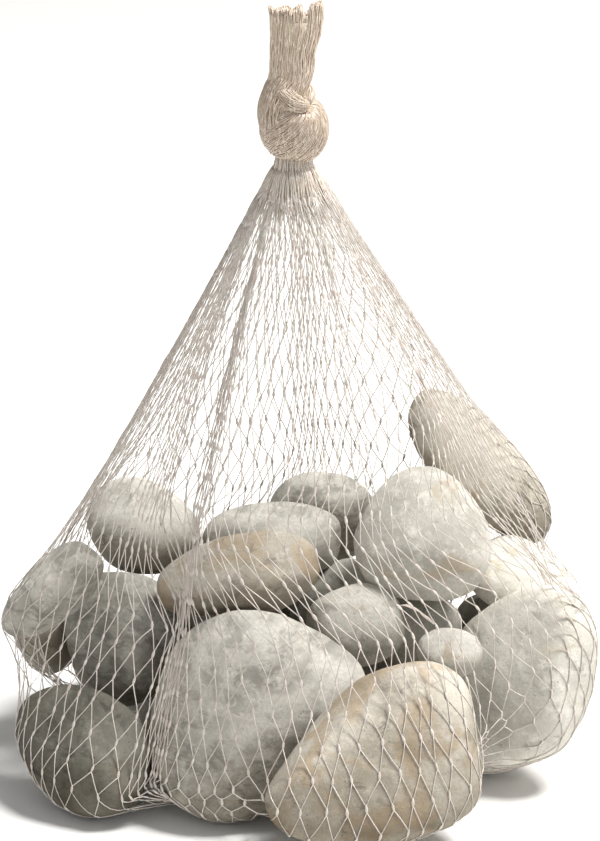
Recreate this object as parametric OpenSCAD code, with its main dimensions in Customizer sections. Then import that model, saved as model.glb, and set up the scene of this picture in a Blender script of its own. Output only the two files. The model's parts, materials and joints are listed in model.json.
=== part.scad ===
// Knotted net bag of decorative beach stones for an aquarium or a pond.
// Every stone is a separate solid. The net is a close belly around the stones, an empty
// cone above them, a throat, one overhand knot and the cut tail above it. Under the pile
// the net's lower end is gathered and closed with a crimped clip, tucked up into the
// hollow between the bottom stones.
// The origin is on the floor under the middle of the pile, +X to the right seen from the
// front, +Y to the back and +Z up.

/* [Net] */
// Thickness of the folded net around the stones
net_wall = 0.6; // [0.5:0.1:0.8]
// Clear gap between the stones and the net
net_gap = 0.4; // [0.3:0.1:0.4]
// Height at which the belly around the stones ends and the empty cone begins
belly_top = 120; // [118:1:124]
// Radius of the round patch of net that lies flat on the floor
foot_r = 44; // [36:1:50]

/* [Throat] */
// Height of the top of the cone, where the net is pulled together
neck_z = 206; // [196:1:210]
// Radius of the net where the throat begins
throat_r = 11.5; // [10.5:0.25:12.5]
// Radius of the ball end on which the knot tilts
ball_r = 5.3; // [5:0.1:5.5]

/* [Knot] */
// Height of the knot
knot_h = 27; // [25:0.5:29]
// Radius of the rope of gathered net that is tied
rope_r = 5.2; // [5:0.1:5.5]
// Radius of the turn that the rope makes around itself
turn_r = 6; // [5.5:0.25:6.5]
// Tilt of that turn
turn_tilt = 32; // [25:1:40]

/* [Tail] */
// Length of the cut tail above the knot
tail_len = 25; // [20:1:30]
// Thickness of the tail from front to back
tail_t = 6.5; // [5.5:0.5:7.5]
// Radius of the ball end on which the tail bends
tail_ball_r = 3.4; // [3.2:0.1:3.6]

/* [Base closure] */
// Outer diameter of the crimped clip
clip_d = 8; // [7.5:0.5:9]
// Height of the crimped clip
clip_h = 6; // [5:0.5:7]
// Radius of the bundle of net inside the clip
bundle_r = 2.6; // [2.2:0.1:2.8]

/* [Hidden] */
// Rings of points on a stone from its flat face to its back, and points in each ring
RINGS = 9;
AROUND = 18;
// Fullness of a stone's edge: 1 is an ellipsoid, less is more like a worn block
FULL = 0.86;
// Clearance between bodies that move on each other
RUN = 0.3;
// Height left free above the knot so that the tail can bend over it
BEND_ROOM = 1.5;
// Where the neck, the knot and the tail stand, seen from above
NECK = [-2, 0];
TAIL_FOOT = [-3.5, 0];
// Where the base closure stands, seen from above, in the hollow between the stones
CLOSURE = [-8, -8];
// Height of the throat up to the ball on which the knot tilts
THROAT_H = 7;
TILT_Z = neck_z + THROAT_H;
KNOT_MID_Z = TILT_Z + knot_h / 2;
BEND_Z = TILT_Z + knot_h;
FAR = 300;

PALE = [0.86, 0.85, 0.80];
WARM = [0.80, 0.76, 0.68];
GREY = [0.66, 0.66, 0.62];
NET_COLOUR = [0.88, 0.84, 0.78];

// Each stone: its name, its centre, its length, width and thickness, its turns about X,
// Y and Z, how much fatter its front end is, how three-cornered its outline is, which
// way its first corner points, and its colour. All are in millimetres and degrees.
STONES = [
    ["stone_front_centre", [-14, -27, 34], [76, 67, 29], [55, -25, 14], -0.15, 0.06, 80, PALE],
    ["stone_front_right", [26, -53, 29], [74, 55, 24], [58, -26, 20], 0, 0.1, 48, WARM],
    ["stone_front_left", [-73, -26, 20], [55, 39, 25], [45, 18, -40], 0.1, 0, 0, GREY],
    ["stone_left", [-61, 14, 43], [42, 50, 28], [45, -20, 10], 0, 0.04, 0, GREY],
    ["stone_right", [74, -3, 33], [71, 54, 29], [45, -60, 0], 0.05, 0.05, 0, PALE],
    ["stone_right_back", [77, 34, 56], [38, 43, 19], [15, -1, 48], 0.14, 0.04, -69, PALE],
    ["stone_dome", [42, 20, 78], [47, 48, 36], [38, 0, 0], 0, 0.08, 90, PALE],
    ["stone_leaning", [65, 60, 88], [79, 38, 17], [40, 46, 20], -0.1, 0, 0, WARM],
    ["stone_ridge", [-21, 7, 68], [57, 30, 24], [24, -12, 0], 0.15, 0, 0, WARM],
    ["stone_centre_right", [19, 1, 53], [34, 29, 20], [60, 0, 0], 0, 0, 0, PALE],
    ["stone_mound", [-10, 38, 69], [49, 30, 25], [10, 0, 0], 0, 0, 0, PALE],
    ["stone_back_left", [-56, 43, 72], [41, 35, 28], [30, 20, 0], 0, 0.05, 0, PALE],
    ["stone_back_centre", [8, 66, 67], [39, 28, 33], [0, 0, 0], 0, 0, 0, GREY],
    ["stone_back_right", [46, 60, 62], [32, 28, 24], [0, 0, 0], 0, 0, 0, PALE],
    ["stone_outer_left", [-84, -2, 66], [42, 21, 19], [0, -38, 20], 0.2, 0, 0, GREY],
    ["stone_outer_low", [-90, 28, 37], [34, 22, 20], [30, 60, 60], 0, 0, 0, WARM],
    ["stone_small_right", [50, -16, 50], [22, 18, 14], [30, 0, 0], 0, 0, 0, PALE],
    ["stone_inner_right", [40, 24, 41], [34, 28, 26], [0, 0, 20], 0, 0, 0, GREY],
    ["stone_inner_centre", [12, 34, 46], [39, 31, 24], [-9, -49, -7], 0.03, 0.04, -73, GREY],
    ["stone_inner_left", [-25, 23, 41], [32, 27, 26], [0, 0, 20], 0, 0, 0, GREY],
    ["stone_base_centre", [17, 18, 15], [46, 38, 27], [0, 0, 20], 0, 0, 0, WARM],
    ["stone_base_left", [-38, 17, 14], [40, 33, 25], [0, 0, -20], 0, 0, 0, PALE],
    ["stone_base_back", [-14, 60, 27], [48, 54, 28], [-60, 0, 0], 0, 0.05, 0, PALE],
    ["stone_base_back_left", [-62, 54, 25], [44, 52, 28], [-55, 0, 40], 0, 0.06, 0, WARM],
    ["stone_base_back_right", [33, 60, 25], [46, 50, 26], [-60, 0, -15], 0, 0.05, 0, PALE],
    ["stone_base_right", [74, 42, 25], [38, 53, 26], [-56, 0, -50], 0, 0, 0, GREY]
];
STONE_NAMES = [for (s = STONES) s[0]];
NET_NAMES = ["net_belly", "net_cone", "throat", "knot", "tail", "base_gather", "base_clip"];

function signed_power(v, e) = sign(v) * pow(abs(v), e);

// A point of a stone at latitude v and longitude u, before it is turned and placed
function stone_point(size, egg, corner, turn, v, u) =
    let (
        ring = signed_power(cos(v), FULL),
        wave = 1 + corner * cos(3 * (u - turn)),
        x = ring * cos(u) * wave,
        swell = 1 + egg * x,
        y = ring * sin(u) * wave * swell,
        z = signed_power(sin(v), FULL) * swell
    )
    [x * size.x / 2, y * size.y / 2, z * size.z / 2];

module pebble(size, egg, corner, turn) {
    step = 180 / (RINGS + 1);
    around = 360 / AROUND;
    rings = [
        for (i = [1:RINGS], j = [0:AROUND - 1])
            stone_point(size, egg, corner, turn, i * step - 90, j * around)
    ];
    bottom = stone_point(size, egg, corner, turn, -90, 0);
    top = stone_point(size, egg, corner, turn, 90, 0);
    last = RINGS * AROUND + 1;
    function at(i, j) = 1 + i * AROUND + (j % AROUND);
    caps = [
        for (j = [0:AROUND - 1])
            each [[0, at(0, j), at(0, j + 1)], [last, at(RINGS - 1, j + 1), at(RINGS - 1, j)]]
    ];
    sides = [
        for (i = [0:RINGS - 2], j = [0:AROUND - 1])
            each [[at(i, j), at(i + 1, j), at(i + 1, j + 1)], [at(i, j), at(i + 1, j + 1), at(i, j + 1)]]
    ];
    polyhedron(concat([bottom], rings, [top]), concat(caps, sides));
}

// One stone in its place; grow makes it larger all round by that many millimetres
module stone_solid(s, grow = 0) {
    room = 2 * grow * [1, 1, 1];
    translate(s[1]) rotate(s[3]) pebble(s[2] + room, s[4], s[5], s[6]);
}

module stone(s) {
    color(s[7]) stone_solid(s);
}

// The taut outline of the net, drawn straight from stone to stone and up to the throat
module net_outline(grow, foot_z, mouth_r, mouth_z) {
    hull() {
        for (s = STONES) stone_solid(s, grow);
        translate([0, 0, foot_z]) cylinder(h = 1, r = foot_r, $fn = 32);
        translate([NECK.x, NECK.y, mouth_z - 1]) cylinder(h = 1, r = mouth_r, $fn = 32);
    }
}

// The net between two heights, open at the mouth under the throat
module net_shell(low, high) {
    mouth_r = throat_r - net_wall;
    intersection() {
        difference() {
            net_outline(net_gap + net_wall, 0, throat_r, neck_z);
            net_outline(net_gap, net_wall, mouth_r, neck_z - 1);
            translate([NECK.x, NECK.y, neck_z - 3]) cylinder(h = 4, r = mouth_r, $fn = 32);
        }
        translate([-FAR / 2, -FAR / 2, low]) cube([FAR, FAR, high - low]);
    }
}

module net_belly() {
    color(NET_COLOUR) net_shell(0, belly_top);
}

module net_cone() {
    color(NET_COLOUR) net_shell(belly_top, neck_z);
}

// The gathered net under the knot, with the ball end on which the knot tilts
module throat() {
    color(NET_COLOUR) translate([NECK.x, NECK.y, neck_z]) {
        cylinder(h = THROAT_H - 1, r1 = throat_r, r2 = ball_r * 0.8, $fn = 48);
        translate([0, 0, THROAT_H]) sphere(r = ball_r, $fn = 48);
    }
}

// The overhand knot: a core of tied rope, one fat turn around it and the rope above
module knot() {
    color(NET_COLOUR) difference() {
        intersection() {
            union() {
                translate([NECK.x, NECK.y, KNOT_MID_Z])
                    scale([1, 0.95, 1.45]) sphere(r = turn_r + 3.5, $fn = 48);
                translate([NECK.x, NECK.y, KNOT_MID_Z]) rotate([0, turn_tilt, 0])
                    rotate_extrude($fn = 48) translate([turn_r, 0]) circle(r = rope_r, $fn = 32);
                translate([TAIL_FOOT.x, TAIL_FOOT.y, BEND_Z - 9]) cylinder(h = 9, r = rope_r, $fn = 48);
            }
            translate([-FAR / 2, -FAR / 2, TILT_Z]) cube([FAR, FAR, knot_h - BEND_ROOM]);
        }
        translate([NECK.x, NECK.y, TILT_Z]) sphere(r = ball_r + RUN, $fn = 48);
        translate([TAIL_FOOT.x, TAIL_FOOT.y, BEND_Z]) sphere(r = tail_ball_r + RUN, $fn = 48);
    }
}

// A flat lobe of the tail, from its foot on the ball end to a cut top
module tail_lobe(foot_x, top_x, top_z, width) {
    flat = tail_t / width;
    hull() {
        translate([foot_x, 0, 2.5]) scale([1, flat, 1]) cylinder(h = 1, r = 3.4, $fn = 32);
        translate([foot_x + (top_x - foot_x) / 2, 0, top_z / 2])
            scale([1, flat, 1]) cylinder(h = 1, r = width / 2, $fn = 32);
        translate([top_x, 0, top_z - 1]) scale([1, flat, 1]) cylinder(h = 1, r = width / 2, $fn = 32);
    }
}

// The cut end of the net above the knot, spread into two lobes with a notch between
module tail() {
    color(NET_COLOUR) translate([TAIL_FOOT.x, TAIL_FOOT.y, BEND_Z]) {
        sphere(r = tail_ball_r, $fn = 48);
        tail_lobe(-1, -2.5, tail_len - 2, 8);
        tail_lobe(1, 6, tail_len, 7.5);
    }
}

// The gathered lower end of the net, from the floor up through the clip to its cut tuft
module base_gather() {
    color(NET_COLOUR) translate([CLOSURE.x, CLOSURE.y, net_wall]) {
        cylinder(h = 4.4, r1 = 6, r2 = bundle_r, $fn = 48);
        cylinder(h = 4.4 + clip_h, r = bundle_r, $fn = 48);
        translate([0, 0, 4.4 + clip_h]) cylinder(h = 4, r1 = bundle_r, r2 = 4.4, $fn = 48);
    }
}

// The open metal ring crimped around the gathered end
module base_clip() {
    bore_r = bundle_r + 0.05;
    color("silver") translate([CLOSURE.x, CLOSURE.y, net_wall + 4.4])
        rotate_extrude(angle = 335, $fn = 48) translate([bore_r, 0]) square([clip_d / 2 - bore_r, clip_h]);
}

for (s = STONES) {
    stone(s);
}
net_belly();
net_cone();
throat();
knot();
tail();
base_gather();
base_clip();
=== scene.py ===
"""Looks for a knotted net bag of beach stones: worn stones, a diamond net of thin threads
drawn over them, the gathered throat, the knot, the cut tail and the clipped lower end."""

import json
import math

import bmesh
import bpy
import numpy as np
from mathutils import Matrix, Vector, noise
from mathutils.bvhtree import BVHTree

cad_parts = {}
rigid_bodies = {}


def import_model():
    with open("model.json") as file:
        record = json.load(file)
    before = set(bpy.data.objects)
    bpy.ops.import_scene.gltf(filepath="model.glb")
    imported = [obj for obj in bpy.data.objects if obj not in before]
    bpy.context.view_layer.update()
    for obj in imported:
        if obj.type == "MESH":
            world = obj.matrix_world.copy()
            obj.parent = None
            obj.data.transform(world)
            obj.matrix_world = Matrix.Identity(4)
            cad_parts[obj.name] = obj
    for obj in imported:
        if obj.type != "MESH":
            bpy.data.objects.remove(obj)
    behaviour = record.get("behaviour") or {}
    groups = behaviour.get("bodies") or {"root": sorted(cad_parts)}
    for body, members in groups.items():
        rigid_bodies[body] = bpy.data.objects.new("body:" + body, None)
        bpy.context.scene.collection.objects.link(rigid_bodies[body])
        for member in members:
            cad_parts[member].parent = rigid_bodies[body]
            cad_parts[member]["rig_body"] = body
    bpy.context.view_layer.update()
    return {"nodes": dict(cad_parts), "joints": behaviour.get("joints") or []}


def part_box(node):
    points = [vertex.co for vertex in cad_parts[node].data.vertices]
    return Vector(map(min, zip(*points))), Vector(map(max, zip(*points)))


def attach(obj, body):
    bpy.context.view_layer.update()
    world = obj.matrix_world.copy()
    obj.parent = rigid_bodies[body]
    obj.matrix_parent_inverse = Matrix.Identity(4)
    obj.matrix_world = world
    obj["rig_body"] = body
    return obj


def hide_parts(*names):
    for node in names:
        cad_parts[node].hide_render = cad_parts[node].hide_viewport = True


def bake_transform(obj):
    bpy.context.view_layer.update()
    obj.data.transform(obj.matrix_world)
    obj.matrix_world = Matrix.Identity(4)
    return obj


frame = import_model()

MM = 0.001
RANDOM_SEED = 7

# The net: diamonds round the tube, the distance between rows of joints, the row at which the
# bag is widest, and the waist under the knot
DIAMONDS = 98
ROW_PITCH = 10.25 * MM
WIDEST_ROW = 15
WAIST_RADIUS = 6.4 * MM
# Its threads, with so many points along each, and their distance from the floor
THREAD_D = 0.37 * MM
BAR_POINTS = 5
FLOOR_GAP = 0.45 * MM
# Its joints: places along a joint from its middle, and its half width there
JOINT_LENGTH = 2.0 * MM
JOINT_WIDTH = 1.0 * MM
JOINT_PLACES = np.array([-1, -0.62, -0.2, 0.2, 0.62, 1]) * (JOINT_LENGTH * 0.5 + 0.5 * MM)
JOINT_RADII = np.array([0.34, 0.74, 1.0, 1.0, 0.74, 0.34]) * JOINT_WIDTH / 2
# Bunches of threads: azimuth in degrees with 0 to the right and 90 at the back, width in
# degrees, strength, and the heights between which the bunch opens again
BUNCHES = [
    (-136, 2.6, 5.5, 0.0, 0.06),
    (-158, 2.6, 6.0, 0.07, 0.12),
    (-46, 2.5, 3.0, 0.15, 0.185),
    (-14, 6.0, 1.0, 0.06, 0.12),
    (-172, 6.0, 1.0, 0.06, 0.12),
    (38, 3.0, 3.0, 0.1, 0.14),
    (84, 4.0, 1.5, 0.05, 0.1),
    (133, 3.0, 3.0, 0.08, 0.13),
]
# The table of the taut outline: steps down it, and azimuths round it
TABLE_STEP = 1.0 * MM
ANGLES = -math.pi + np.arange(240) * 2 * math.pi / 240

# The stones' shapes: how fine the seen and the buried ones are, rounds of smoothing, flats
# worn at random, and lumps as their size, depth and shift in the pattern
STONE_DETAIL = 6
INNER_DETAIL = 5
SMOOTHING_ROUNDS = 32
WORN_FLATS = 3
LUMPS = [(19 * MM, 1.0 * MM, 0), (7 * MM, 0.45 * MM, 9), (2.6 * MM, 0.12 * MM, 17)]
# Flats worn on the stones in front: which way each one faces, and how much of the stone's
# reach that way is left
FLATS = {
    "stone_front_right": [
        ((-0.68, -0.1, 0.72), 0.8),
        ((0.95, -0.2, 0.2), 0.9),
        ((0.1, -0.9, 0.3), 0.88),
    ],
    "stone_front_centre": [
        ((0.36, -0.2, 0.9), 0.88),
        ((-0.8, -0.4, 0.45), 0.9),
        ((0.2, -0.97, 0.1), 0.87),
    ],
    "stone_dome": [
        ((-0.1, -0.9, -0.35), 0.86),
        ((-0.6, -0.5, 0.6), 0.88),
        ((0.7, -0.5, 0.3), 0.92),
    ],
    "stone_right": [((-0.5, -0.6, 0.62), 0.86), ((0.5, -0.8, 0.1), 0.9), ((0.2, -0.5, -0.8), 0.9)],
    "stone_front_left": [((0.3, -0.3, 0.9), 0.82), ((-0.4, -0.9, 0.1), 0.88)],
    "stone_ridge": [((0.0, -0.6, -0.8), 0.84), ((-0.4, -0.6, 0.7), 0.86), ((0.8, -0.4, 0.4), 0.92)],
    "stone_left": [((-0.5, -0.8, 0.35), 0.85), ((0.5, -0.8, 0.3), 0.87)],
    "stone_leaning": [((-0.5, -0.75, 0.4), 0.88), ((0.3, -0.9, 0.3), 0.9)],
    "stone_outer_left": [((-0.5, -0.8, 0.2), 0.84), ((0.3, -0.3, 0.9), 0.88)],
}

NODES = frame["nodes"]
STONES = sorted(n for n in NODES if n.startswith("stone_"))
BURIED = {
    "stone_inner_centre",
    "stone_inner_left",
    "stone_inner_right",
    "stone_base_centre",
    "stone_base_left",
}
BODY_OF = {n: o["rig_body"] for n, o in NODES.items()}


def middle(node):
    """The middle of a CAD node's box."""
    low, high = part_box(node)
    return (low + high) / 2


THROAT_LOW, THROAT_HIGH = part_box("throat")
TAIL_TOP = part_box("tail")[1].z
NECK = np.array([*middle("throat").xy, THROAT_LOW.z])
NECK_RADIUS = (THROAT_HIGH.x - THROAT_LOW.x) / 2
CLOSURE = np.array([*middle("base_clip").xy, 0.0])
CLIP_LOW, CLIP_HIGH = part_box("base_clip")
BELLY_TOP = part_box("net_cone")[0].z
TILT = next(j for j in frame["joints"] if j["name"] == "knot_tilt")["pos_m"]
BEND = next(j for j in frame["joints"] if j["name"] == "tail_bend")["pos_m"]
WAIST = np.array([NECK[0], NECK[1], TILT[2]])


# ---------------------------------------------------------------- meshes


def mesh_object(name, points, faces, material):
    """A smooth mesh from points and a list of face arrays, one for each number of sides."""
    mesh = bpy.data.meshes.new(name)
    loops = np.concatenate([f.ravel() for f in faces])
    sides = np.concatenate([np.full(len(f), f.shape[1]) for f in faces])
    starts = np.cumsum(sides) - sides
    mesh.vertices.add(len(points))
    mesh.vertices.foreach_set("co", points.astype(np.float32).ravel())
    mesh.loops.add(len(loops))
    mesh.loops.foreach_set("vertex_index", loops.astype(np.int32))
    mesh.polygons.add(len(starts))
    mesh.polygons.foreach_set("loop_start", starts.astype(np.int32))
    mesh.update(calc_edges=True)
    mesh.shade_smooth()
    mesh.materials.append(material)
    obj = bpy.data.objects.new(name, mesh)
    bpy.context.scene.collection.objects.link(obj)
    return obj


def tubes(lines, radii, outward, sides=5, flatness=1.0):
    """Closed tubes along lines (lines, points, 3). Their width lies across the outward
    direction, and flatness is their thickness over their width."""
    lines = np.asarray(lines, float)
    count, length = lines.shape[:2]
    along = np.gradient(lines, axis=1)
    along /= np.linalg.norm(along, axis=2, keepdims=True) + 1e-12
    across = np.cross(along, np.broadcast_to(outward, lines.shape))
    across /= np.linalg.norm(across, axis=2, keepdims=True) + 1e-12
    up = np.cross(across, along)
    turn = np.arange(sides) * 2 * math.pi / sides
    ring = (
        across[:, :, None] * np.cos(turn)[:, None]
        + up[:, :, None] * np.sin(turn)[:, None] * flatness
    )
    radii = np.broadcast_to(radii, (count, length))
    points = (lines[:, :, None] + ring * radii[:, :, None, None]).reshape(-1, 3)
    first = (np.arange(count) * length * sides)[:, None, None]
    ring_start = first + (np.arange(length - 1) * sides)[:, None]
    here, there = np.arange(sides), (np.arange(sides) + 1) % sides
    quads = np.stack(
        [
            ring_start + here,
            ring_start + there,
            ring_start + there + sides,
            ring_start + here + sides,
        ],
        axis=-1,
    ).reshape(-1, 4)
    starts = np.arange(count)[:, None] * length * sides
    caps = np.concatenate(
        [starts + here[::-1], starts + (length - 1) * sides + here], axis=0
    )
    return points, [quads, caps]


def joined(parts):
    """Several (points, faces) pairs as one."""
    points, faces, base = [], [], 0
    for part_points, part_faces in parts:
        points.append(part_points)
        faces += [f + base for f in part_faces]
        base += len(part_points)
    return np.concatenate(points), faces


def smooth_step(x):
    """0 below 0, 1 above 1, and a smooth rise between."""
    x = np.clip(x, 0, 1)
    return x * x * (3 - 2 * x)


def tree_of(objects):
    """A search tree over the meshes of several objects at rest."""
    points, faces, base = [], [], 0
    for o in objects:
        co = np.zeros(len(o.data.vertices) * 3)
        o.data.vertices.foreach_get("co", co)
        points.append(co.reshape(-1, 3))
        o.data.calc_loop_triangles()
        tris = np.zeros(len(o.data.loop_triangles) * 3, np.int32)
        o.data.loop_triangles.foreach_get("vertices", tris)
        faces.append(tris.reshape(-1, 3) + base)
        base += len(co) // 3
    return BVHTree.FromPolygons(
        np.concatenate(points).tolist(), np.concatenate(faces).tolist()
    )


# ---------------------------------------------------------------- materials


class Nodes:
    """Short calls for building one material's node tree."""

    def __init__(self, name):
        self.material = bpy.data.materials.new(name)
        self.material.use_nodes = True
        self.tree = self.material.node_tree
        self.tree.nodes.clear()
        self.shader = self.new("ShaderNodeBsdfPrincipled")
        out = self.new("ShaderNodeOutputMaterial")
        self.link(self.shader.outputs["BSDF"], out.inputs["Surface"])
        self.where = self.new("ShaderNodeTexCoord").outputs["Object"]

    def new(self, kind):
        return self.tree.nodes.new(kind)

    def link(self, a, b):
        self.tree.links.new(a, b)

    def moved(self, offset, scale=(1, 1, 1)):
        n = self.new("ShaderNodeMapping")
        n.inputs["Location"].default_value = offset
        n.inputs["Scale"].default_value = scale
        self.link(self.where, n.inputs["Vector"])
        return n.outputs["Vector"]

    def noise(self, where, scale, detail=3.0, rough=0.55, distortion=0.0):
        n = self.new("ShaderNodeTexNoise")
        n.inputs["Scale"].default_value = scale
        n.inputs["Detail"].default_value = detail
        n.inputs["Roughness"].default_value = rough
        n.inputs["Distortion"].default_value = distortion
        self.link(where, n.inputs["Vector"])
        return n.outputs["Fac"]

    def cells(self, where, scale):
        n = self.new("ShaderNodeTexVoronoi")
        n.inputs["Scale"].default_value = scale
        self.link(where, n.inputs["Vector"])
        return n.outputs["Distance"]

    def spread(self, value, low, high, to_low=0.0, to_high=1.0):
        n = self.new("ShaderNodeMapRange")
        n.interpolation_type = "SMOOTHSTEP"
        limits = {"From Min": low, "From Max": high, "To Min": to_low, "To Max": to_high}
        for socket, v in limits.items():
            n.inputs[socket].default_value = v
        self.link(value, n.inputs["Value"])
        return n.outputs["Result"]

    def times(self, a, b):
        n = self.new("ShaderNodeMath")
        n.operation = "MULTIPLY"
        for socket, v in zip(n.inputs, (a, b)):
            if isinstance(v, (int, float)):
                socket.default_value = v
            else:
                self.link(v, socket)
        return n.outputs["Value"]

    def mix(self, share, a, b, blend="MIX"):
        n = self.new("ShaderNodeMix")
        n.data_type, n.blend_type = "RGBA", blend
        sockets = [n.inputs[0], n.inputs[6], n.inputs[7]]
        for socket, v in zip(sockets, (share, a, b)):
            if isinstance(v, (int, float)):
                socket.default_value = v
            elif isinstance(v, tuple):
                socket.default_value = (*v, 1)
            else:
                self.link(v, socket)
        return n.outputs[2]

    def bump(self, height, strength, distance, under=None):
        n = self.new("ShaderNodeBump")
        n.inputs["Strength"].default_value = strength
        n.inputs["Distance"].default_value = distance
        self.link(height, n.inputs["Height"])
        if under is not None:
            self.link(under, n.inputs["Normal"])
        return n.outputs["Normal"]


def stone_material(name, light, shade, stain, stained, scuffed, painted_shade, place):
    """Sea-worn limestone: chalky mottling, stains, grey scuffs, pits, and shade painted on the
    lower side. stained and scuffed say how much of the surface the stain and the scuffs cover,
    and the argument after them how strongly shade is painted onto the lower side."""
    m = Nodes(name)
    here = m.moved(place)
    broad = m.noise(here, 38, 3, 0.55, 0.4)
    fine = m.noise(here, 210, 8, 0.68)
    grains = m.noise(here, 900, 4, 0.6)
    colour = m.mix(m.spread(broad, 0.38, 0.64), light, shade)
    chalk = tuple(min(1.0, c * 1.12) for c in light)
    colour = m.mix(m.spread(fine, 0.48, 0.66, 0, 0.75), colour, chalk)
    patches = m.noise(m.moved(tuple(c + 3.1 for c in place)), 46, 5, 0.62, 0.8)
    stains = m.spread(patches, 0.66 - 0.24 * stained, 0.76 - 0.2 * stained, 0, 0.85)
    colour = m.mix(stains, colour, stain)
    streaks = m.noise(m.moved(place, (1.0, 0.35, 1.6)), 150, 6, 0.7, 0.6)
    scuffs = m.spread(streaks, 0.64 - 0.2 * scuffed, 0.72 - 0.16 * scuffed, 0, 0.75)
    grey = tuple(c * 0.55 for c in shade)
    colour = m.mix(m.times(scuffs, m.spread(broad, 0.3, 0.6)), colour, grey)
    pits = m.spread(m.cells(here, 430), 0.0, 0.22, 1, 0)
    pits = m.times(pits, m.spread(fine, 0.46, 0.58))
    colour = m.mix(m.times(pits, 0.7), colour, tuple(c * 0.45 for c in shade))
    colour = m.mix(m.spread(grains, 0.42, 0.58, 0, 0.22), colour, tuple(c * 0.7 for c in shade))
    # Painted shade, not dirt: faces that point down are darkened towards a brown-grey, more in some
    # patches than others, standing in for the shade under each stone
    apart = m.new("ShaderNodeSeparateXYZ")
    m.link(m.new("ShaderNodeNewGeometry").outputs["Normal"], apart.inputs["Vector"])
    lower = m.spread(apart.outputs["Z"], -0.1, 0.85, painted_shade, 0)
    lower = m.times(lower, m.spread(broad, 0.2, 0.55, 0.6, 1))
    shaded_colour = m.mix(1.0, colour, (0.40, 0.37, 0.32), "MULTIPLY")
    colour = m.mix(lower, colour, shaded_colour)
    m.link(colour, m.shader.inputs["Base Color"])
    m.link(m.spread(fine, 0.3, 0.7, 0.72, 0.94), m.shader.inputs["Roughness"])
    m.shader.inputs["Specular IOR Level"].default_value = 0.28
    normal = m.bump(broad, 0.6, 2.2 * MM)
    normal = m.bump(fine, 0.7, 0.8 * MM, normal)
    normal = m.bump(pits, 0.5, -0.35 * MM, normal)
    m.link(normal, m.shader.inputs["Normal"])
    return m.material


def net_material(name, colour, pale, tint):
    """Thin polyethylene thread: milky, slightly glossy, with paler and pinker lengths."""
    m = Nodes(name)
    lengths = m.noise(m.where, 120, 4, 0.6)
    flecks = m.noise(m.moved((1.7, 0.4, 2.2), (1, 1, 0.25)), 1400, 3, 0.6)
    shown = m.mix(m.spread(lengths, 0.36, 0.62), colour, tint)
    shown = m.mix(m.spread(flecks, 0.5, 0.62, 0, 0.7), shown, pale)
    m.link(shown, m.shader.inputs["Base Color"])
    m.link(m.spread(flecks, 0.3, 0.7, 0.42, 0.24), m.shader.inputs["Roughness"])
    m.shader.inputs["Specular IOR Level"].default_value = 0.6
    m.link(m.bump(flecks, 0.3, 0.08 * MM), m.shader.inputs["Normal"])
    return m.material


def metal_material(name):
    """Crimped aluminium wire with a drawn grain and dull spots."""
    m = Nodes(name)
    grain = m.noise(m.moved((0, 0, 0), (1, 1, 18)), 300, 4, 0.6)
    m.link(m.mix(grain, (0.62, 0.63, 0.65), (0.8, 0.8, 0.8)), m.shader.inputs["Base Color"])
    m.shader.inputs["Metallic"].default_value = 1.0
    m.link(m.spread(grain, 0.3, 0.7, 0.28, 0.5), m.shader.inputs["Roughness"])
    m.link(m.bump(grain, 0.2, 0.05 * MM), m.shader.inputs["Normal"])
    return m.material


PALE = dict(light=(0.72, 0.70, 0.64), shade=(0.50, 0.48, 0.43), stain=(0.52, 0.44, 0.33))
# A lighter copy of the pale stone's colours for the stones on the right: partly their own paler
# tone, partly painted light from the key lamp on that side
PALE_WITH_PAINTED_LIGHT = dict(light=(0.83, 0.81, 0.74), shade=(0.65, 0.63, 0.56), stain=(0.62, 0.54, 0.40))
WARM = dict(light=(0.66, 0.62, 0.54), shade=(0.46, 0.42, 0.35), stain=(0.50, 0.40, 0.28))
GREY = dict(light=(0.56, 0.55, 0.50), shade=(0.36, 0.35, 0.31), stain=(0.40, 0.36, 0.30))
# Painted shade: the grey stone's colours at about half their brightness, for the stone in front on
# the left, which lies in shade away from the key lamp
PAINTED_SHADE_GREY = dict(light=(0.27, 0.26, 0.22), shade=(0.16, 0.155, 0.13), stain=(0.22, 0.20, 0.15))
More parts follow.
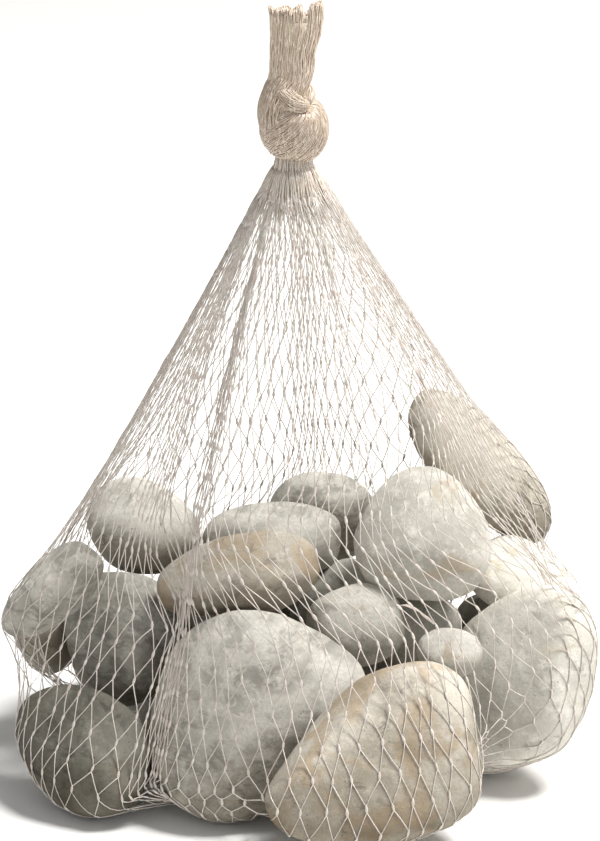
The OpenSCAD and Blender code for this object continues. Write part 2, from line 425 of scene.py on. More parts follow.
# Colours, material slot, and how stained and how scuffed each stone is, and how much shade is
# painted on its lower side
STONE_LOOKS = {
    "stone_front_centre": (PALE, "pale_stone", 0.35, 0.9, 0.95),
    "stone_front_right": (WARM, "warm_stone", 0.8, 0.4, 1.0),
    "stone_front_left": (PAINTED_SHADE_GREY, "grey_stone", 0.4, 0.6, 1.0),
    "stone_left": (GREY, "grey_stone", 0.3, 0.8, 0.8),
    "stone_right": (PALE_WITH_PAINTED_LIGHT, "pale_stone", 0.2, 0.4, 0.25),
    "stone_right_back": (PALE_WITH_PAINTED_LIGHT, "pale_stone", 0.2, 0.4, 0.3),
    "stone_dome": (PALE, "pale_stone", 0.45, 0.2, 0.0),
    "stone_leaning": (WARM, "warm_stone", 0.3, 0.8, 0.8),
    "stone_ridge": (WARM, "warm_stone", 0.7, 0.5, 0.7),
    "stone_centre_right": (PALE, "pale_stone", 0.2, 0.6, 0.6),
    "stone_mound": (PALE, "pale_stone", 0.0, 0.9, 0.6),
    "stone_back_left": (PALE, "pale_stone", 0.1, 0.5, 0.9),
    "stone_back_centre": (PALE, "pale_stone", 0.1, 0.9, 0.7),
    "stone_back_right": (PALE, "pale_stone", 0.3, 0.4, 0.7),
    "stone_outer_left": (PALE, "pale_stone", 0.0, 0.8, 0.3),
    "stone_outer_low": (WARM, "warm_stone", 0.5, 0.4, 0.7),
    "stone_small_right": (PALE, "pale_stone", 0.2, 0.3, 0.7),
    "stone_inner_right": (GREY, "grey_stone", 0.3, 0.5, 0.7),
    "stone_inner_centre": (GREY, "grey_stone", 0.2, 0.6, 0.7),
    "stone_inner_left": (GREY, "grey_stone", 0.3, 0.5, 0.7),
    "stone_base_centre": (WARM, "warm_stone", 0.4, 0.4, 0.7),
    "stone_base_left": (PALE, "pale_stone", 0.3, 0.4, 0.7),
    "stone_base_back": (PALE, "pale_stone", 0.4, 0.5, 0.7),
    "stone_base_back_left": (WARM, "warm_stone", 0.5, 0.4, 0.7),
    "stone_base_back_right": (PALE, "pale_stone", 0.2, 0.6, 0.7),
    "stone_base_right": (GREY, "grey_stone", 0.3, 0.6, 0.7),
}


# ---------------------------------------------------------------- stones


def unit_ball(detail):
    """Directions of a fine ball, its triangles, and each point's neighbours."""
    bm = bmesh.new()
    bmesh.ops.create_icosphere(bm, subdivisions=detail, radius=1)
    bm.verts.ensure_lookup_table()
    points = np.array([v.co for v in bm.verts])
    faces = np.array([[v.index for v in f.verts] for f in bm.faces])
    near = np.array(
        [([e.other_vert(v).index for e in v.link_edges] + [v.index])[:6] for v in bm.verts]
    )
    bm.free()
    return points / np.linalg.norm(points, axis=1, keepdims=True), faces, near


def worn_flats(points, flats, rng):
    """Softly planes off a few sides, as on a stone that has slid on others."""
    centre = points.mean(0)
    for _ in range(WORN_FLATS):
        flats = flats + [(rng.normal(size=3), rng.uniform(0.88, 0.96))]
    for side, left in flats:
        side = np.array(side) / np.linalg.norm(side)
        height = (points - centre) @ side
        limit = height.max() * left
        soft = 1.0 * MM
        over = soft * np.logaddexp(0, (height - limit) / soft)
        points = points - np.outer(over * 0.9, side)
    return points


def lumps(points, size, depth, offset):
    """Lowers each point by up to depth, in a pattern of about that size."""
    return np.array(
        [depth * (0.5 + 0.5 * noise.noise(Vector(p / size + offset))) for p in points]
    )


def stone_look(node, place, drift):
    """A stone's own material, a little lighter or darker by drift, and its slot."""
    colours, slot, stained, scuffed, painted_shade = STONE_LOOKS[node]
    tinted = {k: tuple(c * drift for c in v) for k, v in colours.items()}
    material = stone_material(
        node, stained=stained, scuffed=scuffed, painted_shade=painted_shade, place=place, **tinted
    )
    return material, slot


def make_stone(node, ball, index):
    """The CAD stone smoothed, worn flat in places and lumpy, in the CAD stone's own box."""
    directions, faces, near = ball
    rng = np.random.default_rng(RANDOM_SEED + index)
    tree = tree_of([NODES[node]])
    centre = middle(node)
    points = np.array([tree.ray_cast(centre + Vector(d), -Vector(d))[0] for d in directions])
    low, high = points.min(0), points.max(0)
    for _ in range(SMOOTHING_ROUNDS):
        points += 0.5 * (points[near].mean(1) - points)
    points = worn_flats(points, FLATS.get(node, []), rng)
    offset = rng.uniform(0, 50, 3)
    inward = np.array(centre) - points
    inward /= np.linalg.norm(inward, axis=1, keepdims=True)
    depth = sum(lumps(points, size, deep, offset + shift) for size, deep, shift in LUMPS)
    points = points + inward * depth[:, None]
    now_low, now_high = points.min(0), points.max(0)
    points = low + (points - now_low) * ((high - low) / (now_high - now_low))
    material, slot = stone_look(node, tuple(offset), rng.uniform(0.94, 1.05))
    obj = mesh_object(f"{node}_worn", points, [faces], material)
    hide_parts(node)
    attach(obj, BODY_OF[node])
    return obj


fine_ball, coarse_ball = unit_ball(STONE_DETAIL), unit_ball(INNER_DETAIL)
stones = [
    make_stone(n, coarse_ball if n in BURIED else fine_ball, i)
    for i, n in enumerate(STONES)
]
stone_tree = tree_of(stones)


# ---------------------------------------------------------------- the net's course


def outline_paths(angles, step):
    """Points every step along paths down the taut outline, one for each angle round it,
    from the throat to inside the base clip, and each path's length."""
    outline = tree_of([NODES["net_cone"], NODES["net_belly"]])
    far = 0.4
    skin = 0.3 * MM
    top = NECK[2] - 0.2 * MM
    heights = np.concatenate([np.linspace(top, 4 * MM, 90), [2.5 * MM, 1.2 * MM]])
    paths = []
    for a in angles:
        out = np.array([math.cos(a), math.sin(a), 0.0])
        line = [WAIST + out * WAIST_RADIUS, NECK + out * (NECK_RADIUS - skin)]
        for z in heights:
            share = z / NECK[2]
            axis = CLOSURE * (1 - share) + NECK * share
            axis[2] = z
            hit = outline.ray_cast(Vector(axis + out * far), Vector(-out))[0]
            line.append(np.array(hit) - out * skin)
        rim = line[-1].copy()
        rim[2] = FLOOR_GAP
        gather = CLOSURE + out * 7 * MM + np.array([0, 0, FLOOR_GAP])
        line += [rim + (gather - rim) * t for t in np.linspace(0, 1, 12)]
        line.append(CLOSURE + out * 2.7 * MM + np.array([0, 0, CLIP_LOW.z]))
        line.append(CLOSURE + out * 2.3 * MM + np.array([0, 0, CLIP_HIGH.z]))
        line = np.array(line)
        run = np.concatenate([[0], np.cumsum(np.linalg.norm(np.diff(line, axis=0), axis=1))])
        paths.append((line, run))
    longest = max(run[-1] for _, run in paths)
    stations = np.arange(0, longest + step, step)
    table = [[np.interp(stations, run, line[:, k]) for k in range(3)] for line, run in paths]
    return np.array(table).transpose(0, 2, 1), np.array([run[-1] for _, run in paths])


def column_angles(columns, row):
    """The azimuth of each column (in diamonds) in a row: even along the outline, but
    drawn together in the bunches."""
    distance = min(row, WIDEST_ROW) * ROW_PITCH
    ring = outline_table[:, int(distance / TABLE_STEP)]
    height = ring[:, 2].mean()
    steps = np.linalg.norm(np.roll(ring, -1, axis=0) - np.roll(ring, 1, axis=0), axis=1)
    for _ in range(4):
        steps = (np.roll(steps, 1) + 2 * steps + np.roll(steps, -1)) / 4
    azimuth = np.linspace(-180, 180, 1441)
    density = np.interp(azimuth, np.degrees(ANGLES), steps / steps.mean(), period=360)
    gathered = np.zeros_like(azimuth)
    for centre, width, strength, low, high in BUNCHES:
        away = (azimuth - centre + 180) % 360 - 180
        kept = smooth_step((height - low) / (high - low))
        gathered += strength * kept * np.exp(-(away**2) / (2 * width**2))
    for k, (wave, size) in enumerate([(5, 0.16), (9, 0.14), (17, 0.12)]):
        gathered += size * np.sin(np.radians(azimuth * wave) + k * 2.0)
    density = density * (1 + gathered)
    total = np.concatenate([[0], np.cumsum((density[1:] + density[:-1]) / 2)])
    total *= DIAMONDS / total[-1]
    turns, part = np.divmod(columns, DIAMONDS)
    return np.radians(np.interp(part, total, azimuth) + 360 * turns)


def look_up(table, angles, stations, step):
    """Points of the outline table at angles and distances down it."""
    count, length = table.shape[:2]
    u = (angles + math.pi) / (2 * math.pi) * count
    v = np.clip(stations / step, 0, length - 1.001)
    i, j = np.floor(u).astype(int), np.floor(v).astype(int)
    fu, fv = (u - i)[..., None], (v - j)[..., None]
    i0, i1 = i % count, (i + 1) % count
    near = table[i0, j] * (1 - fv) + table[i0, j + 1] * fv
    far = table[i1, j] * (1 - fv) + table[i1, j + 1] * fv
    return near * (1 - fu) + far * fu


outline_table, path_lengths = outline_paths(ANGLES, TABLE_STEP)
rows = int(path_lengths.max() / ROW_PITCH) + 2
rng = np.random.default_rng(RANDOM_SEED)
row_index = np.arange(rows)[:, None] * np.ones((1, DIAMONDS), int)
column = np.arange(DIAMONDS)[None, :] + (row_index % 2) / 2
column = column + rng.normal(0, 0.07, column.shape)
station = row_index * ROW_PITCH + rng.normal(0, 0.35 * MM, column.shape)
station[0] = 0
angle = np.array([column_angles(column[r], r) for r in range(rows)])
node_at = look_up(outline_table, angle, station, TABLE_STEP)
length_here = np.interp(
    (angle + math.pi) % (2 * math.pi), ANGLES + math.pi, path_lengths, period=2 * math.pi
)

# Each node's lower neighbours: an odd row stands half a diamond on from an even one
columns = np.arange(DIAMONDS)[None, :]
odd = row_index % 2
to_left = (columns - 1 + odd) % DIAMONDS
to_right = (columns + odd) % DIAMONDS


def outward_of(points):
    """Unit vectors out of the net's surface at each node."""
    down = np.gradient(points, axis=0)
    round_it = np.roll(points, -1, axis=1) - np.roll(points, 1, axis=1)
    out = np.cross(down, round_it)
    out /= np.linalg.norm(out, axis=2, keepdims=True) + 1e-12
    return out


def room_inward(points, outward):
    """How far each point can move in against the outward direction before it meets a
    stone. It is negative where the point already lies inside one."""
    start, most = 14 * MM, 60 * MM
    flat = points.reshape(-1, 3)
    out = np.broadcast_to(outward, points.shape).reshape(-1, 3)
    room = np.full(len(flat), most)
    for i in np.flatnonzero(flat[:, 2] < BELLY_TOP + start):
        origin = Vector(flat[i] + out[i] * start)
        distance = stone_tree.ray_cast(origin, Vector(-out[i]), start + most)[3]
        if distance is not None:
            room[i] = distance - start
    return room.reshape(points.shape[:-1])


def lifted(points, outward, clearance):
    """Points raised to that clearance from the stones, and off the floor."""
    short = np.maximum(clearance - room_inward(points, outward), 0)
    points = points + outward * short[..., None]
    points[..., 2] = np.maximum(points[..., 2], FLOOR_GAP)
    return points


def settled(points, outward, held, rounds):
    """Lets the taut threads draw the net inwards until the stones stop it."""
    room = room_inward(points, outward) - THREAD_D * 0.6
    sunk = np.minimum(0, room)
    for _ in range(rounds):
        now = points - outward * sunk[..., None]
        near = [
            np.take_along_axis(row_beside, side[1:-1, :, None], 1)
            for row_beside in (now[:-2], now[2:])
            for side in (to_left, to_right)
        ]
        pull = sum(near) / 4 - now[1:-1]
        inward = -(pull * outward[1:-1]).sum(2)
        moved = np.minimum(np.maximum(sunk[1:-1] + 0.8 * inward, -0.5 * MM), room[1:-1])
        sunk[1:-1] = np.where(held[1:-1], sunk[1:-1], moved)
    return points - outward * sunk[..., None]


def along_net(points):
    """Unit vectors down the net at each node."""
    down = np.gradient(points, axis=0)
    return down / (np.linalg.norm(down, axis=2, keepdims=True) + 1e-12)


outward = outward_of(node_at)
held = (row_index == 0) | (station > length_here - 34 * MM)
node_at = settled(node_at, outward, held, 150)

# Where the threads are bunched, their joints stand at uneven heights
spacing = np.linalg.norm(np.roll(node_at, -1, axis=1) - node_at, axis=2)
uneven = 1.5 * MM * np.clip(1 - spacing / (2.6 * MM), 0, 1) * rng.normal(0, 1, spacing.shape)
uneven[0] = 0
node_at = node_at + along_net(node_at) * uneven[..., None]

# The joints, each a short length in which two threads run as one
down = along_net(node_at)
sway = rng.normal(0, 0.12, down.shape)
sway -= (sway * outward).sum(2, keepdims=True) * outward
down = down + sway
down /= np.linalg.norm(down, axis=2, keepdims=True)
alive = station < length_here
joint_top = lifted(node_at - down * JOINT_LENGTH / 2, outward, THREAD_D * 0.7)
joint_low = lifted(node_at + down * JOINT_LENGTH / 2, outward, THREAD_D * 0.7)


def bars():
    """The threads between the joints, as lines (bars, points, 3), the outward direction at
    each point, and the row that each thread hangs from."""
    lines, outs, tops = [], [], []
    share = np.linspace(0, 1, BAR_POINTS)[:, None]
    for side in (to_left, to_right):
        upper, upper_out = joint_low[:-1][alive[:-1]], outward[:-1][alive[:-1]]
        lower = np.take_along_axis(joint_top[1:], side[:-1, :, None], 1)[alive[:-1]]
        lower_out = np.take_along_axis(outward[1:], side[:-1, :, None], 1)[alive[:-1]]
        lines.append(upper[:, None] * (1 - share) + lower[:, None] * share)
        out = upper_out[:, None] * (1 - share) + lower_out[:, None] * share
        outs.append(out / np.linalg.norm(out, axis=2, keepdims=True))
        tops.append(row_index[:-1][alive[:-1]])
    return np.concatenate(lines), np.concatenate(outs), np.concatenate(tops)


bar_lines, bar_out, bar_row = bars()
slack = rng.normal(0, 0.24 * MM, bar_lines.shape)
bar_lines[:, 1:-1] += slack[:, 1:-1]
for _ in range(3):
    bar_lines[:, 1:-1] = lifted(bar_lines[:, 1:-1], bar_out[:, 1:-1], THREAD_D * 0.6)
    tauter = (bar_lines[:, :-2] + bar_lines[:, 2:]) / 2
    bar_lines[:, 1:-1] += 0.4 * (tauter - bar_lines[:, 1:-1])
bar_lines[:, 1:-1] = lifted(bar_lines[:, 1:-1], bar_out[:, 1:-1], THREAD_D * 0.5)


NET = net_material("net_thread", (0.64, 0.60, 0.54), (0.82, 0.79, 0.74), (0.63, 0.55, 0.50))
GATHERED = net_material(
    "gathered_net", (0.55, 0.45, 0.35), (0.84, 0.76, 0.66), (0.52, 0.41, 0.33)
)
CUT_END = net_material("cut_net", (0.66, 0.55, 0.43), (0.94, 0.85, 0.74), (0.62, 0.50, 0.40))
THROAT = net_material("throat_net", (0.78, 0.71, 0.62), (0.95, 0.90, 0.83), (0.72, 0.63, 0.55))


def net_piece(name, lines, out, radii, sides, flatness=1.0):
    """A piece of open net, from the lines of its threads or joints."""
    obj = mesh_object(name, *tubes(lines, radii, out, sides, flatness), NET)
    return obj


def place_piece(cone_piece, belly_piece):
    """The cone's piece stays fixed where it was built, on no body, and the belly's is held still by
    the root body.
    """
    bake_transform(cone_piece)
    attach(belly_piece, "root")


def make_threads(name, chosen):
    """The chosen threads between the joints as one piece."""
    return net_piece(name, bar_lines[chosen], bar_out[chosen], thread_radii[chosen], 4)


def make_joints():
    """The net's joints, flat lozenges in which two threads run as one."""
    shown = alive & (row_index > 0)
    middles = ((joint_top + joint_low) / 2)[shown]
    axes = joint_low - joint_top
    axes /= np.linalg.norm(axes, axis=2, keepdims=True)
    lines = middles[:, None] + axes[shown][:, None] * JOINT_PLACES[:, None]
    out = outward[shown][:, None].repeat(len(JOINT_PLACES), 1)
    radii = JOINT_RADII * rng.uniform(0.85, 1.15, (len(lines), 1))
    high = middles[:, 2] > BELLY_TOP
    cone = net_piece("net_cone_joints", lines[high], out[high], radii[high], 6, 0.6)
    belly = net_piece("net_belly_joints", lines[~high], out[~high], radii[~high], 6, 0.6)
    return cone, belly


thread_radii = THREAD_D / 2 * rng.uniform(0.86, 1.12, (len(bar_lines), 1))
in_throat = bar_row == 0
in_cone = (bar_lines[:, 0, 2] > BELLY_TOP) & ~in_throat
threads_cone = make_threads("net_cone_threads", in_cone)
threads_belly = make_threads("net_belly_threads", ~in_cone & ~in_throat)
joints_cone, joints_belly = make_joints()
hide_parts("net_cone")
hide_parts("net_belly")
place_piece(threads_cone, threads_belly)
place_piece(joints_cone, joints_belly)


# ---------------------------------------------------------------- throat, knot and tail


def strand_piece(name, parts, material):
    """A piece of gathered net, from several (points, faces) pairs."""
    obj = mesh_object(name, *joined(parts), material)
    return obj


def wavy(lines, size, waves, rng):
    """Lines moved sideways by slow waves, each by its own."""
    count, length = lines.shape[:2]
    along = np.linspace(0, 1, length)[None, :, None]
    phase = rng.uniform(0, 2 * math.pi, (count, 1, 3))
    pace = rng.uniform(0.6, 1.4, (count, 1, 3)) * waves
    return lines + size * np.sin(2 * math.pi * along * pace + phase)


def on_net(columns_in, distance):
    """Points on the settled net at a column, in diamonds, and a distance down it."""
    row = distance / ROW_PITCH
    upper = np.floor(row).astype(int)
    ends = []
    for r in (upper, upper + 1):
        place = columns_in - (r % 2) / 2
        left = np.floor(place).astype(int)
        f = (place - left)[..., None]
        right_end = node_at[r, (left + 1) % DIAMONDS] * f
        ends.append(node_at[r, left % DIAMONDS] * (1 - f) + right_end)
    share = (row - upper)[..., None]
    return ends[0] * (1 - share) + ends[1] * share


def level_from(centre, lines):
    """Level vectors from an upright line through the centre to the points of lines."""
    out = lines - np.array([centre[0], centre[1], 0])
    out[..., 2] = 0
    return out


def throat_lines(count, rng):
    """Lines up the net's top into the knot, and their outward directions."""
    place = rng.uniform(0, DIAMONDS, (count, 1))
    reach_down = rng.uniform(8, 26, (count, 1)) * MM
    distance = reach_down * np.linspace(1, 0, 9)[None, :] ** 0.9
    lines = on_net(place + 0 * distance, distance)
    top = WAIST + (lines[:, -1:] - WAIST) * 0.8 + np.array([0, 0, 5 * MM])
    lines = np.concatenate([lines, top], axis=1)
    out = level_from(NECK, lines)
    out /= np.linalg.norm(out, axis=2, keepdims=True)
    lines = lines - out * rng.uniform(0.1 * MM, 1.3 * MM, (count, 1, 1))
    return wavy(lines, 0.16 * MM, 1.6, rng), out


def waist_core():
    """What closes the waist under the knot, behind its threads."""
    z = np.linspace(TILT[2] - 3 * MM, TILT[2] + 4 * MM, 8)
    line = np.stack([0 * z + NECK[0], 0 * z + NECK[1], z], axis=-1)[None]
    return tubes(line, WAIST_RADIUS * 0.78, np.array([1.0, 0, 0]), 20)


def make_throat():
    """Threads drawn together from the top of the cone up into the knot, flat folds behind
    them, and the net's first row of threads."""
    rng = np.random.default_rng(RANDOM_SEED + 101)
    count, folded = 420, 150
    lines, out = throat_lines(count, rng)
    thickness = np.linspace(0.4, 1.1, lines.shape[1]) * THREAD_D * 0.44
    strands = tubes(lines, thickness * rng.uniform(0.8, 1.2, (count, 1)), out, 5)
    inner = lines[:folded, 2:] - out[:folded, 2:] * 1.3 * MM
    width = np.linspace(0.15, 1.0, inner.shape[1]) * 0.62 * MM
    folds = tubes(inner, width, out[:folded, 2:], 6, 0.4)
    first = tubes(bar_lines[in_throat], thread_radii[in_throat], bar_out[in_throat], 4)
    obj = strand_piece("throat_threads", [strands, folds, first, waist_core()], THROAT)
    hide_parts("throat")
    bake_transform(obj)


# The knot, in millimetres from where it tilts: the fat turn of rope, and the crease in its
# top right into which all the strands run
TURN_MIDDLE = (0.4, 0, 11.7)
TURN_RADII = (11.0, 9.2, 11.5)
CREASE_SIDE = (0.24, -0.45, 0.86)
TURN_TWIST = -0.7
# The rope that comes down from the tail along the turn's left side, and the fold that runs
# from it across into the crease
SHOULDER = [
    (-1.0, 0.2, 30),
    (-1.7, 0.2, 27),
    (-3.5, -0.3, 23.5),
    (-4.8, -0.8, 19),
    (-4.8, -1.0, 14),
    (-3.0, -1.0, 8),
    (-0.5, -0.5, 4),
]
SHOULDER_RADII = [3.4, 5.0, 6.0, 6.3, 6.2, 5.4, 3.6]
FOLD = [
    (-5.4, -1.0, 26.5),
    (-3.8, -3.2, 23.4),
    (-0.8, -4.6, 20.8),
    (2.4, -4.6, 19.9),
    (4.2, -3.0, 20.4),
]
FOLD_RADII = [2.0, 3.2, 3.4, 2.6, 1.0]
# The rope that leaves the crease behind the tail
BACK_ROPE = [(4.0, -2, 20), (3.4, 1.5, 22), (0.5, 4.4, 20.5), (-4, 4.6, 16), (-6, 3.0, 10)]
BACK_ROPE_RADII = [1.5, 3.6, 4.6, 5.0, 4.0]


def curve_through(points, count):
    """A smooth line of count points through given ones, and their places on it."""
    p = np.array(points, float)
    p = np.vstack([2 * p[0] - p[1], p, 2 * p[-1] - p[-2]])
    place = np.linspace(0, len(points) - 1 - 1e-9, count)
    i = place.astype(int)
    f = (place - i)[:, None]
    a, b, c, d = p[i], p[i + 1], p[i + 2], p[i + 3]
    second = 2 * a - 5 * b + 4 * c - d
    third = 3 * b - a - 3 * c + d
    return (2 * b + (c - a) * f + second * f**2 + third * f**3) / 2, place


def rope(points, radii, count, twist, rng):
    """A thick rope of gathered net: threads laid over a core along a curved line."""
    line, place = curve_through(points, 40)
    line = np.array(TILT) + line * MM
    radius = np.interp(place, np.arange(len(radii)), radii) * MM
    along = np.gradient(line, axis=0)
    along /= np.linalg.norm(along, axis=1, keepdims=True)
    normal = np.zeros_like(line)
    normal[0] = np.cross(along[0], [0, 1, 0])
    for k in range(1, len(line)):
        normal[k] = normal[k - 1] - along[k] * (normal[k - 1] @ along[k])
        normal[k] /= np.linalg.norm(normal[k])
    side = np.cross(along, normal)
    run = np.linspace(0, 1, len(line))
    turn = rng.uniform(0, 2 * math.pi, (count, 1)) + twist * run
    pace = rng.uniform(6, 14, (count, 1))
    turn = turn + 0.12 * np.sin(run * pace + rng.uniform(0, 6, (count, 1)))
    layer = rng.uniform(0.88, 1.0, (count, 1)) + 0.02 * np.sin(run * 19 + 5 * turn)
    out = normal * np.cos(turn)[..., None] + side * np.sin(turn)[..., None]
    lines = line + out * (radius * layer)[..., None]
    strands = tubes(lines, THREAD_D * 0.62, out, 4)
    core = tubes(line[None], radius[None] * 0.9, normal[None], 18)
    return [strands, core]


def turn_surface(tilt, turn):
    """Points on the fat turn, at an angle from the crease and an angle round it."""
    pole = np.array(CREASE_SIDE) / np.linalg.norm(CREASE_SIDE)
    across = np.cross(pole, [0, 1, 0])
    across /= np.linalg.norm(across)
    third = np.cross(pole, across)
    ring = np.cos(turn)[..., None] * across + np.sin(turn)[..., None] * third
    side = np.cos(tilt)[..., None] * pole + np.sin(tilt)[..., None] * ring
    dimple = 1 - 0.34 * np.exp(-((tilt / 0.42) ** 2))
    fold = 1 + 0.03 * np.sin(3 * turn + 1.0) * np.sin(tilt)
    reach = side * TURN_RADII * (dimple * fold)[..., None]
    return np.array(TILT) + (np.array(TURN_MIDDLE) + reach) * MM


def turn_strands(centre, rng):
    """The fat turn's threads, fanning out of the crease all round."""
    count = 520
    tilt = np.linspace(0.1, 2.9, 22) + 0 * rng.uniform(0, 1, (count, 1))
    turn = rng.uniform(0, 2 * math.pi, (count, 1)) + TURN_TWIST * tilt
    pace = rng.uniform(2, 5, (count, 1))
    turn = turn + 0.07 * np.sin(tilt * pace + rng.uniform(0, 6, (count, 1)))
    layer = rng.uniform(0.955, 1.0, (count, 1, 1))
    lines = centre + (turn_surface(tilt, turn) - centre) * layer
    radii = THREAD_D * 0.6 * rng.uniform(0.75, 1.2, (count, 1))
    return tubes(lines, radii, lines - centre, 4)


def turn_core(centre):
    """A closed surface just under the turn's threads."""
    rings, sides = 24, 32
    rim = np.linspace(0, 2 * math.pi, sides + 1)[:-1]
    tilt, turn = np.meshgrid(np.linspace(0.03, 3.1, rings), rim, indexing="ij")
    points = centre + (turn_surface(tilt, turn) - centre) * 0.95
    i, j = np.meshgrid(np.arange(rings - 1), np.arange(sides), indexing="ij")
    here, there = i * sides + j, i * sides + (j + 1) % sides
    quads = np.stack([here, there, there + sides, here + sides], axis=-1).reshape(-1, 4)
    caps = np.array([np.arange(sides)[::-1], (rings - 1) * sides + np.arange(sides)])
    return points.reshape(-1, 3), [quads, caps]


def make_knot():
    """The overhand knot: the fat turn, the rope from the tail over its left shoulder, the
    fold into the crease, and the rope that leaves it behind."""
    rng = np.random.default_rng(RANDOM_SEED + 202)
    centre = np.array(TILT) + np.array(TURN_MIDDLE) * MM
    parts = [turn_strands(centre, rng), turn_core(centre)]
    parts += rope(SHOULDER, SHOULDER_RADII, 300, 0.5, rng)
    parts += rope(FOLD, FOLD_RADII, 110, 0.3, rng)
    parts += rope(BACK_ROPE, BACK_ROPE_RADII, 120, 0.6, rng)
    obj = strand_piece("knot_turn", parts, GATHERED)
    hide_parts("knot")
    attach(obj, "knot")


# The tail's cut edge: places across it, from -1 at the left to 1 at the right, and
# millimetres below its highest point
CUT_AT = [-1, -0.85, -0.3, -0.15, 0.2, 0.35, 0.6, 1]
CUT_BELOW = [1.6, 2.8, 1.9, 3.2, 1.4, 5.4, 1.5, 0.2]
# Its shape: shares of its height, and its middle and half width there in millimetres
RISES = [0, 0.12, 0.3, 0.5, 0.7, 0.85, 1]
MIDDLES = [-1.6, -0.8, 0.9, 1.3, 2.2, 2.5, 1.9]
HALF_WIDTHS = [5.9, 6.2, 6.7, 6.9, 7.7, 8.1, 8.4]


def tail_top(side):
    """The height of the cut edge at a place across the tail."""
    return TAIL_TOP - np.interp(side, CUT_AT, CUT_BELOW) * MM


def tail_middle(rise):
    """The tail's middle, half width and half depth at a share of its height."""
    x = BEND[0] + np.interp(rise, RISES, MIDDLES) * MM
    half_width = np.interp(rise, RISES, HALF_WIDTHS) * MM
    half_depth = (4.5 - 1.5 * rise) * MM
    return x, half_width, half_depth


def tail_lines(count, low, rng):
    """Lines up the tail from its low end to the cut edge."""
    side = rng.uniform(-1, 1, (count, 1))
    depth = rng.uniform(-1, 1, (count, 1))
    depth = np.sign(depth) * np.abs(depth) ** 0.4 * np.sqrt(1 - side**2 * 0.8)
    top = tail_top(side) - rng.uniform(0, 0.7 * MM, (count, 1))
    z = low + (top - low) * np.linspace(0, 1, 13)[None, :]
    x, half_width, half_depth = tail_middle((z - low) / (TAIL_TOP - low))
    lines = np.stack([x + side * half_width, BEND[1] + depth * half_depth, z], axis=-1)
    return wavy(lines, 0.3 * MM, 1.7, rng)


def tail_joints(count, lines, out, rng):
    """Joints of the net at random places on the tail's threads."""
    last = lines.shape[1] - 1
    pick = rng.integers(0, len(lines), count)
    at = rng.uniform(0.2, 0.97, count) * last
    k = np.floor(at).astype(int)
    f = (at - k)[:, None]
    after = lines[pick, np.minimum(k + 1, last)]
    spot = lines[pick, k] * (1 - f) + after * f
    lean = after - lines[pick, k]
    lean /= np.linalg.norm(lean, axis=1, keepdims=True) + 1e-9
    marks = spot[:, None] + lean[:, None] * JOINT_PLACES[:, None]
    facing = out[pick, k][:, None].repeat(len(JOINT_PLACES), 1)
    return tubes(marks, JOINT_RADII * 0.85, facing, 5, 0.7)


def tail_core(low):
    """What fills the tail behind its threads."""
    rise = np.linspace(0, 0.8, 10)
    x, half_width, _ = tail_middle(rise)
    line = np.stack([x, 0 * x + BEND[1], low + rise * (TAIL_TOP - low)], axis=-1)[None]
    return tubes(line, half_width[None] * 0.93, np.array([0, -1.0, 0]), 28, 0.47)


def make_tail():
    """The cut end of the gathered net: flat, spread at the top and ragged."""
    rng = np.random.default_rng(RANDOM_SEED + 303)
    count = 1300
    low = BEND[2] - 7 * MM
    lines = tail_lines(count, low, rng)
    out = level_from(BEND, lines)
    radii = THREAD_D * 0.5 * rng.uniform(0.7, 1.3, (count, 1))
    parts = [tubes(lines, radii, out, 4), tail_joints(300, lines, out, rng), tail_core(low)]
    obj = strand_piece("tail_threads", parts, CUT_END)
    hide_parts("tail")
    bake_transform(obj)


# Scraps of cut thread caught between the stones on the right, in millimetres
SCRAPS = [
    [(33.5, -3.5, 62), (36, -5, 62.5), (39, -6, 61.5), (41.5, -6.5, 60)],
    [(39.5, -6, 61.5), (41.5, -7.5, 60), (43.5, -9, 59), (45, -10.5, 58)],
]


def make_scraps():
    """Short flat slivers of thread left in the bag."""
    lines = np.array([curve_through(points, 12)[0] for points in SCRAPS]) * MM
    width = np.sin(np.linspace(0.15, 3.0, 12)) * 0.6 * MM
    slivers = tubes(lines, width, np.array([0, -0.6, 0.8]), 6, 0.3)
    obj = strand_piece("thread_scraps", [slivers], THROAT)
    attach(obj, "root")


def make_base_gather():
    """Pleats of net drawn up through the clip, and the tuft above it."""
    rng = np.random.default_rng(RANDOM_SEED + 404)
    count = 90
    turn = np.sort(rng.uniform(0, 2 * math.pi, count))[:, None]
    clip_low, clip_high = CLIP_LOW.z, CLIP_HIGH.z
    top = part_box("base_gather")[1].z
    z = np.array([0.9 * MM, 2.2 * MM, clip_low, clip_high, (clip_high + top) / 2, top])
    radius = np.array([6.0, 4.0, 2.35, 2.35, 3.0, 4.0]) * MM
    layer = rng.uniform(0.35, 1.0, (count, 1))
    lines = np.stack(
        [
            CLOSURE[0] + radius * layer * np.cos(turn),
            CLOSURE[1] + radius * layer * np.sin(turn),
            z - rng.uniform(0, 0.8 * MM, (count, 1)) * (z > clip_high) + 0 * turn,
        ],
        axis=-1,
    )
    strands = tubes(lines, THREAD_D * 0.55, level_from(CLOSURE, lines), 5)
    obj = strand_piece("base_gather_threads", [strands], GATHERED)
    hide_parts("base_gather")
    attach(obj, "root")


def dress_clip():
    """The CAD clip in its aluminium."""
    clip = NODES["base_clip"]
    clip.data.materials.clear()
    clip.data.materials.append(metal_material("clip_metal"))


make_throat()
make_knot()
make_tail()
make_base_gather()
make_scraps()
dress_clip()


# ---------------------------------------------------------------- floor, light, camera


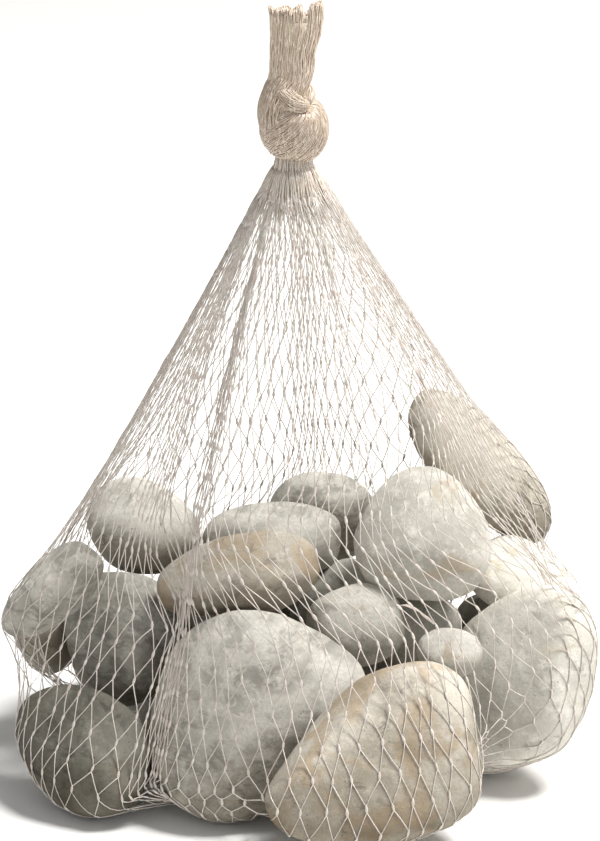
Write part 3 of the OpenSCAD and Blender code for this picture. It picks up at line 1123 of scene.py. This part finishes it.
def make_floor():
    """A plain pale floor, a little uneven in tone."""
    m = Nodes("pale_floor")
    tone = m.noise(m.where, 3, 2)
    m.link(m.mix(tone, (0.90, 0.90, 0.89), (0.93, 0.93, 0.92)), m.shader.inputs["Base Color"])
    m.shader.inputs["Roughness"].default_value = 0.9
    size = 6.0
    points = np.array([[-size, -size, 0], [size, -size, 0], [size, size, 0], [-size, size, 0]])
    floor = mesh_object("floor", points, [np.array([[0, 1, 2, 3]])], m.material)


def make_lamp(name, place, target, size, power, colour):
    """A soft round lamp that faces its target."""
    lamp = bpy.data.lights.new(name, "AREA")
    lamp.shape = "DISK"
    lamp.size = size
    lamp.energy = power
    lamp.color = colour
    obj = bpy.data.objects.new(name, lamp)
    bpy.context.scene.collection.objects.link(obj)
    obj.location = place
    obj.rotation_euler = (Vector(target) - Vector(place)).to_track_quat("-Z", "Y").to_euler()


def make_world():
    """Even white light from all round."""
    world = bpy.data.worlds.new("studio")
    bpy.context.scene.world = world
    world.use_nodes = True
    background = world.node_tree.nodes["Background"]
    background.inputs["Color"].default_value = (1.0, 1.0, 1.0, 1)
    background.inputs["Strength"].default_value = 0.34


def make_camera():
    """The photograph's view: 19 degrees above the horizon, from the front."""
    elevation = math.radians(19)
    distance = 0.8
    aim = Vector((0, 0, 0.1267))
    look = Vector((0, math.cos(elevation), -math.sin(elevation)))
    data = bpy.data.cameras.new("camera")
    data.sensor_width = 36
    data.lens = 103.8
    data.clip_start = 0.01
    data.dof.use_dof = False
    camera = bpy.data.objects.new("camera", data)
    bpy.context.scene.collection.objects.link(camera)
    camera.location = aim - look * distance
    camera.rotation_euler = look.to_track_quat("-Z", "Y").to_euler()
    bpy.context.scene.camera = camera


make_floor()
make_world()
make_lamp("key", (1.25, 0.1, 2.85), (0, 0, 0.06), 1.0, 138, (1.0, 0.98, 0.95))
make_lamp("fill", (1.6, -2.6, 1.5), (0, 0, 0.08), 1.6, 8, (0.98, 0.98, 1.0))
make_camera()
bpy.context.scene.view_settings.view_transform = "Standard"
